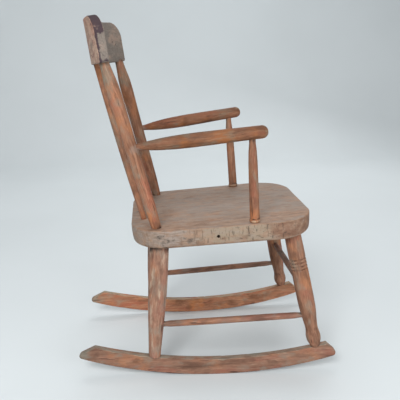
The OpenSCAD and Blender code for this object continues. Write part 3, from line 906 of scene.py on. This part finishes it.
def rocker(side, word):
    """A rocker, sawn to two arcs and cut off at a slant at both tips. Its own Y runs from the point
    where it touches the floor."""
    rear = ROCKER_LEN / 2 + ROCKER_REST_Y
    front = ROCKER_LEN / 2 - ROCKER_REST_Y
    # Even rings, of which the last few give way to the tips' own
    ys = np.linspace(-front, rear, 240)[3:-3]
    ys = np.unique(np.concatenate([ys, -front + TIP_RINGS, rear - TIP_RINGS]))

    def low_z(y):
        return ROCKER_R - math.sqrt(ROCKER_R**2 - y * y)

    def high_z(y):
        top = ROCKER_H + ROCKER_UPPER_R - math.sqrt(ROCKER_UPPER_R**2 - y * y)
        rear_slant = low_z(rear) + REAR_TIP + (rear - y) * math.tan(rad(REAR_CUT))
        front_slant = low_z(front) + FRONT_TIP + (y + front) * math.tan(rad(FRONT_CUT))
        return min(top, rear_slant, front_slant)

    rings = []
    for y in ys:
        to_end = min(y + front, rear - y)
        shrink = TIP_SHRINK * (1 - min(1, to_end / TIP_RINGS[-1])) ** 2
        worn = 1.1 + 1.3 * math.exp(-to_end / 14)
        low, high = low_z(y) + shrink, high_z(y) - shrink
        section = rounded_section(ROCKER_T / 2 - shrink, low, high, worn)
        rings.append([(x, y, z) for x, z in section])
    seed = SEED["rocker"] + side
    rings = wear_in(np.array(rings), 0.25, (9, 45, 9), seed, dents=40, dent_size=3.5)

    y, z = rings[..., 1], rings[..., 2]
    up = ring_normals(rings)[..., 2]
    high = np.array([high_z(v) for v in ys])[:, None]
    low = np.array([low_z(v) for v in ys])[:, None]
    edge = np.exp(-(high - z) / 2.2)
    tip = fade(np.minimum(y + front, rear - y), 14)
    marks = dict(
        wear_and_highlight=0.1
        + 0.3 * edge
        # Lighter on the upward faces: painted light from above
        + 0.25 * smooth_step(up, 0.5, 1)
        + 0.2 * smooth_step(-y, front - 34, front - 12),
        grey=0.08
        + 0.85 * tip * smooth_step(y, 0, 1)
        + 0.35 * tip
        + 0.42 * smooth_step(up, 0.6, 1),
        # Darker along the bottom: painted shade
        dirt_and_shade=0.06 + 0.5 * np.exp(-(z - low) / 2.0) + 0.3 * tip,
    )
    place = Matrix.Translation(Vector((side * ROCKER_HALF, -ROCKER_REST_Y, 0)))
    m = place @ Matrix.Rotation(rad(side * ROCKER_TOE), 4, "Z")
    material = wood(f"rocker_{word}_wood", ROCKER_TONES_LEFT_PAINTED_LIGHT[word], "Y", seed, fine=0.8)
    piece("rocker_" + word, rings, m, material, marks)


for side, word in SIDES:
    rocker(side, word)


# ---- Boards --------------------------------------------------------------------------------------

# A face's rings shrink to this share of its outline before its middle closes it
FACE_CORE = 0.02
EDGE_RINGS = 7


def walk(corners, spacing):
    """Points every spacing mm round arcs and the lines that join them. An arc is its centre,
    radius, start angle and end angle."""
    points = []
    for (cx, cy), r, a, b in corners:
        count = max(3, int(abs(rad(b - a)) * r / spacing))
        angles = (rad(a + (b - a) * i / count) for i in range(count + 1))
        points += [(cx + r * math.cos(angle), cy + r * math.sin(angle)) for angle in angles]
    points.append(points[0])
    out = []
    for (x0, y0), (x1, y1) in zip(points, points[1:]):
        count = max(1, round(math.hypot(x1 - x0, y1 - y0) / spacing))
        out += [(x0 + (x1 - x0) * i / count, y0 + (y1 - y0) * i / count) for i in range(count)]
    return np.array(out)


def board(outline, thick, low_r, high_r, middle, inner=46, step=1.6, tuck=0.0):
    """Rings of a board: from the middle of its low face out, up over its edge, and in over its high
    face. low_r and high_r round its edges, inner is the number of rings on a face, and tuck is how
    far its edge draws in towards the low face."""
    t = np.roll(outline, -1, 0) - np.roll(outline, 1, 0)
    n = np.stack([t[:, 1], -t[:, 0]], axis=1)
    n /= np.linalg.norm(n, axis=1, keepdims=True)
    rings = []

    def ring(inset, scale, z):
        flat = middle + (outline - n * inset - middle) * scale
        rings.append(np.column_stack([flat, np.full(len(flat), z)]))

    def sink(z):
        return tuck * max(0.0, 1 - z / (0.65 * thick)) ** 2

    for s in np.linspace(FACE_CORE, 1, inner)[:-1]:
        ring(low_r + sink(0), s, 0)
    for a in np.linspace(0, 90, EDGE_RINGS):
        z = low_r * (1 - math.cos(rad(a)))
        ring(low_r * (1 - math.sin(rad(a))) + sink(z), 1, z)
    for z in np.arange(low_r + step, thick - high_r, step):
        ring(sink(z), 1, z)
    for a in np.linspace(0, 90, EDGE_RINGS):
        ring(high_r * (1 - math.cos(rad(a))), 1, thick - high_r * (1 - math.sin(rad(a))))
    for s in np.linspace(1, FACE_CORE, inner)[1:]:
        ring(high_r, s, thick)
    return np.array(rings)


def seat():
    """The plank: rounded corners and edges, a shallow worn hollow, grain ridges on its top, and a
    drilled hole in its right edge."""
    fx, fy = SEAT_FRONT_HALF - SEAT_FRONT_R, -SEAT_FRONT_Y + SEAT_FRONT_R
    bx, by = SEAT_BACK_HALF - SEAT_BACK_R, SEAT_BACK_Y - SEAT_BACK_R
    corners = [
        ((fx, fy), SEAT_FRONT_R, -90, 0), ((bx, by), SEAT_BACK_R, 0, 90),
        ((-bx, by), SEAT_BACK_R, 90, 180), ((-fx, fy), SEAT_FRONT_R, 180, 270),
    ]
    outline = walk(corners, spacing=2.2)
    rings = board(outline, SEAT_T, low_r=5.5, high_r=2.4, middle=vec(0, -24), tuck=2.2)
    rings[..., 2] -= SEAT_T
    n = ring_normals(rings)
    x, y, z = rings[..., 0], rings[..., 1], rings[..., 2]
    upper = smooth_step(n[..., 2], 0.3, 0.9)
    reach = np.hypot(x, y + HOLLOW_Y)
    dish = HOLLOW_DEPTH * (1 - smooth_step(reach, HOLLOW_D / 2, HOLLOW_D / 2 + HOLLOW_RIM))
    ridges = 0.16 * (0.5 + 0.5 * fbm(rings, (4.5, 90, 30), 5))
    rings = rings - np.stack([0 * x, 0 * x, upper * (dish + ridges)], axis=2)
    rings = wear_in(rings, 0.45, (26, 60, 9), SEED["seat"], dents=70, dent_size=4.5)

    # Masks: the right edge is bare behind its front corner, and the edges are greyer at the rear
    wall = smooth_step(1 - np.abs(n[..., 2]), 0.3, 0.8)
    right_wall = wall * smooth_step(-n[..., 0], 0.5, 0.95)
    bare = right_wall * smooth_step(y, -126, -80) * (1 - 0.5 * smooth_step(y, -30, 40))
    arris = 4 * upper * (1 - upper)
    streak = np.exp(-(((x + 98 + 0.05 * y) / 18) ** 2)) * upper
    knot = near(rings, vec(-112, 70, -14), 20) + near(rings, vec(-118, 34, -17), 14)
    feet = [post_foot(side) for side, _ in SIDES]
    feet += [support_ends(side)[0] for side, _ in SIDES]
    feet += [spindle_ends(k)[0] for k in (-1, 0, 1)]
    slope = Matrix.Rotation(rad(-SEAT_SLOPE), 4, "X")
    m = Matrix.Translation(Vector((0, 0, SEAT_H))) @ slope
    world = moved(m, rings)
    round_feet = sum(near(world, foot, 15) for foot in feet)
    mottle = fbm(rings, (26, 90, 30), 7)
    marks = dict(
        wear_and_highlight=0.1 + 0.62 * bare + 0.25 * upper * smooth_step(-y, 60, 140) + 0.3 * arris,
        grey=0.1
        + upper * (0.5 + 0.22 * mottle) * (1 - 0.9 * streak)
        + 0.5 * wall * smooth_step(y, 0, 60)
        + 0.2 * bare,
        dirt_and_shade=0.08
        + 0.55 * knot
        + 0.42 * round_feet
        + 0.2 * wall * smooth_step(-y, 86, 110)
        # Darker on the underside: painted shade
        + 0.25 * smooth_step(-n[..., 2], 0.1, 0.6),
        wall=wall * (0.35 + 0.65 * smooth_step(-y, -90, 60) * (1 - smooth_step(-y, 110, 150))),
        filler=0.6 * near(rings, vec(-108, 88, -20), 12),
        stain=0.7 * wall * smooth_step(-y, 86, 112)
        + 0.3 * streak
        + 0.5 * near(rings, vec(-122, -92, -12), 18),
    )
    hole_at = vec(-(SEAT_FRONT_HALF + SEAT_BACK_HALF) / 2, EDGE_HOLE_Y, -SEAT_T / 2)
    hole = (hole_at, vec(1, 0, 0), EDGE_HOLE_D / 2, EDGE_HOLE_DEPTH)
    material = wood("seat_wood", SEAT_TONES, "Y", SEED["seat"], fine=0.7, long=0.5, strong=0.5)
    piece("seat", rings, m, material, marks, hole)


def crest():
    """The crest rail: a board bent to an arc, with round upper corners and worn edges."""
    cx, cz = CREST_HALF - CREST_CORNER_R, CREST_H - CREST_CORNER_R
    low_x, low_z = CREST_HALF - CREST_LOW_CORNER_R, CREST_LOW_CORNER_R
    corners = [
        ((low_x, low_z), CREST_LOW_CORNER_R, -90, 0), ((cx, cz), CREST_CORNER_R, 0, 90),
        ((-cx, cz), CREST_CORNER_R, 90, 180), ((-low_x, low_z), CREST_LOW_CORNER_R, 180, 270),
    ]
    rings = board(
        walk(corners, spacing=1.8), CREST_T, low_r=1.8, high_r=2.2, middle=vec(0, CREST_H / 2),
        inner=34, step=1.4,
    )
    # The board's low face is its back, so depth runs from the back of the rail to its front
    x, up, depth = rings[..., 0], rings[..., 1], rings[..., 2]
    radius = CREST_R + CREST_T / 2 - depth
    y = CREST_CENTRE_Y + np.sqrt(radius**2 - x * x)
    bent = np.stack([x, y, up], axis=2)
    bent = wear_in(bent, 0.35, (50, 12, 12), SEED["crest"], dents=36, dent_size=3.5)

    # Masks: all but the back is grey, and dirt lies on the shoulder at each upper corner
    n = ring_normals(bent)
    out = np.abs(x)
    front = smooth_step(-n[..., 1], 0.4, 0.8)
    back = smooth_step(n[..., 1], 0.3, 0.7)
    edge = 1 - smooth_step(np.abs(n[..., 1]), 0.35, 0.75)
    end = edge * smooth_step(np.abs(n[..., 0]), 0.4, 0.8)
    shoulder = edge * smooth_step(out, 72, 92) * smooth_step(up, CREST_H - 30, CREST_H - 22)
    arris = smooth_step(out, CREST_HALF - 9, CREST_HALF - 3) * np.exp(-((depth - 1.2) / 1.6) ** 2)
    low_edge = 1 - smooth_step(up, 1.5, 7)
    marks = dict(
        wear_and_highlight=0.22 * (1 - edge) + 0.2 * front * smooth_step(out, 70, 110) + 0.1 * (1 - front),
        grey=0.06 + 0.9 * (1 - back),
        dirt_and_shade=0.08
        + 0.9 * shoulder
        + 0.24 * end
        + 0.25 * edge * (1 - end)
        + 0.5 * arris
        # Darker along the bottom of the front and ends: painted shade under the rail
        + 0.35 * low_edge * np.maximum(front, end),
    )
    material = wood("crest_wood", CREST_TONES, "X", SEED["crest"], fine=0.8)
    piece("crest_rail", bent, CREST_M, material, marks)


seat()
crest()


# ---- Room, light and camera ----------------------------------------------------------------------

# In metres from here on. The sweep is flat under the chair and rises behind it, towards +X.
SWEEP_START, SWEEP_FLAT_TO, SWEEP_BEND_R, SWEEP_TOP, SWEEP_HALF = -2.5, 1.5, 0.9, 3.5, 4.0
SWEEP_BEND_STEP = 6  # degrees
SWEEP_COLOUR = colour(206, 212, 214)

# Name, place, target (the chair's middle where None), diameter and power in watts
LIGHTS = (
    ("key", (-1.35, 0.5, 1.25), None, 0.8, 24),
    ("fill", (-1.3, -0.7, 0.45), None, 1.0, 11),
    ("over", (0.5, 0.1, 2.3), None, 1.6, 9),
    ("wash", (0.9, 0, 2.2), (2.4, 0, 0.8), 1.8, 14),
    ("side", (1.5, -0.7, 1.2), None, 1.4, 7),
)
SKY_COLOUR, SKY_STRENGTH = (0.96, 0.98, 1.0, 1), 0.4

# The eye stands level with the back's upper part, on the sitter's right, and looks across the
# chair, a little down and forward
EYE = (-0.8848, 0.0878, 0.5162)
LOOK = (0.9579, -0.0907, -0.2726)
SENSOR_MM, LENS_MM = 36.0, 48.61


def looking(direction):
    """The rotation that points a camera or a light in a direction."""
    return direction.to_track_quat("-Z", "Y").to_euler()


def plain_material(name, shade, rough):
    """Matt paper with a slight clouding."""
    n = Nodes(name)
    place = n.put("ShaderNodeTexCoord").outputs["Object"]
    clouding = n.ramp(n.noise(place, 1.6, 3.0), 0.3, 0.7)
    darker = tuple(0.96 * v for v in shade[:3]) + (1.0,)
    surface = {
        "Base Color": n.mix(clouding, shade, darker),
        "Roughness": rough,
        "Specular IOR Level": SPECULAR_LEVEL,
    }
    shader = n.put("ShaderNodeBsdfPrincipled", surface)
    n.put("ShaderNodeOutputMaterial", {"Surface": shader.outputs[0]})
    return n.material


def sweep():
    """The pale floor and backdrop in one piece."""
    path = [(SWEEP_START, 0.0), (SWEEP_FLAT_TO, 0.0)]
    for a in range(SWEEP_BEND_STEP, 91, SWEEP_BEND_STEP):
        x = SWEEP_FLAT_TO + SWEEP_BEND_R * math.sin(rad(a))
        path.append((x, SWEEP_BEND_R * (1 - math.cos(rad(a)))))
    path.append((SWEEP_FLAT_TO + SWEEP_BEND_R, SWEEP_TOP))
    verts = [(x, y, z) for x, z in path for y in (-SWEEP_HALF, SWEEP_HALF)]
    faces = [(2 * i, 2 * i + 1, 2 * i + 3, 2 * i + 2) for i in range(len(path) - 1)]
    mesh = bpy.data.meshes.new("sweep")
    mesh.from_pydata(verts, [], faces)
    mesh.shade_smooth()
    mesh.materials.append(plain_material("sweep_paper", SWEEP_COLOUR, 0.75))
    o = bpy.data.objects.new("sweep", mesh)
    bpy.context.scene.collection.objects.link(o)


def area_light(name, place, target, size, power):
    data = bpy.data.lights.new(name, "AREA")
    data.shape = "DISK"
    data.size = size
    data.energy = power
    o = bpy.data.objects.new(name, data)
    o.location = place
    o.rotation_euler = looking(Vector(target) - Vector(place))
    bpy.context.scene.collection.objects.link(o)


sweep()
low, high = (Vector(c) for c in cad_box)
middle = (low + high) / 2
for name, place, target, size, power in LIGHTS:
    area_light(name, place, target or middle, size, power)

world = bpy.data.worlds.new("studio")
world.use_nodes = True
world.node_tree.nodes["Background"].inputs["Color"].default_value = SKY_COLOUR
world.node_tree.nodes["Background"].inputs["Strength"].default_value = SKY_STRENGTH
bpy.context.scene.world = world
bpy.context.scene.view_settings.view_transform = "Standard"

lens = bpy.data.cameras.new("camera")
lens.sensor_width = SENSOR_MM
lens.lens = LENS_MM
camera = bpy.data.objects.new("camera", lens)
bpy.context.scene.collection.objects.link(camera)
camera.location = EYE
camera.rotation_euler = looking(Vector(LOOK))
bpy.context.scene.camera = camera

bpy.context.view_layer.update()
